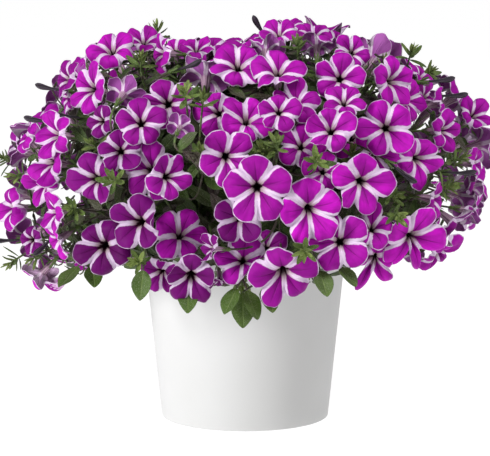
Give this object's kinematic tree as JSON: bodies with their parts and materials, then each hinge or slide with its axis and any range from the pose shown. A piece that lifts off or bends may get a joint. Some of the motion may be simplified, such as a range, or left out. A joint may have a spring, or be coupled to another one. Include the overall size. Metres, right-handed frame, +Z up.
{
  "type": "potted petunia",
  "caption": "Mounded striped petunia, purple with white stars, in a plain tapered white pot that stands on its flat foot.",
  "frame": {"origin": "middle of the pot's flat underside", "axes": "+Z up through the plant, -Y towards the side that the picture shows, +X to that side's right"},
  "size_m": [0.4564, 0.4581, 0.3628],
  "materials": {
    "pot": "smooth satin, even white",
    "soil": "coarse dark peat and bark",
    "petal": "velvety petals, purple with five white stripes",
    "leaf": "soft hairy green leaves and stalks",
    "bud": "dull dark purple closed buds"
  },
  "bodies": {
    "root": {"pot": "pot", "soil": "soil", "flower_stem_01": "petal", "flower_stem_02": "petal", "flower_stem_03": "petal", "flower_stem_04": "petal", "flower_stem_05": "petal", "flower_stem_06": "petal", "flower_stem_07": "petal", "flower_stem_08": "petal", "flower_stem_09": "petal", "flower_stem_10": "petal", "flower_stem_11": "petal", "flower_stem_12": "petal", "flower_stem_13": "petal", "flower_stem_14": "petal", "flower_stem_15": "petal", "flower_stem_16": "petal", "flower_stem_17": "petal", "flower_stem_18": "petal", "flower_stem_19": "petal", "flower_stem_20": "petal", "flower_stem_21": "petal", "flower_stem_22": "petal", "flower_stem_23": "petal", "flower_stem_24": "petal", "flower_stem_25": "petal", "flower_stem_26": "petal", "flower_stem_27": "petal", "flower_stem_28": "petal", "flower_stem_29": "petal", "flower_stem_30": "petal", "flower_stem_31": "petal", "flower_stem_32": "petal", "flower_stem_33": "petal", "flower_stem_34": "petal", "flower_stem_35": "petal", "flower_stem_36": "petal"}
  },
  "joints": []
}
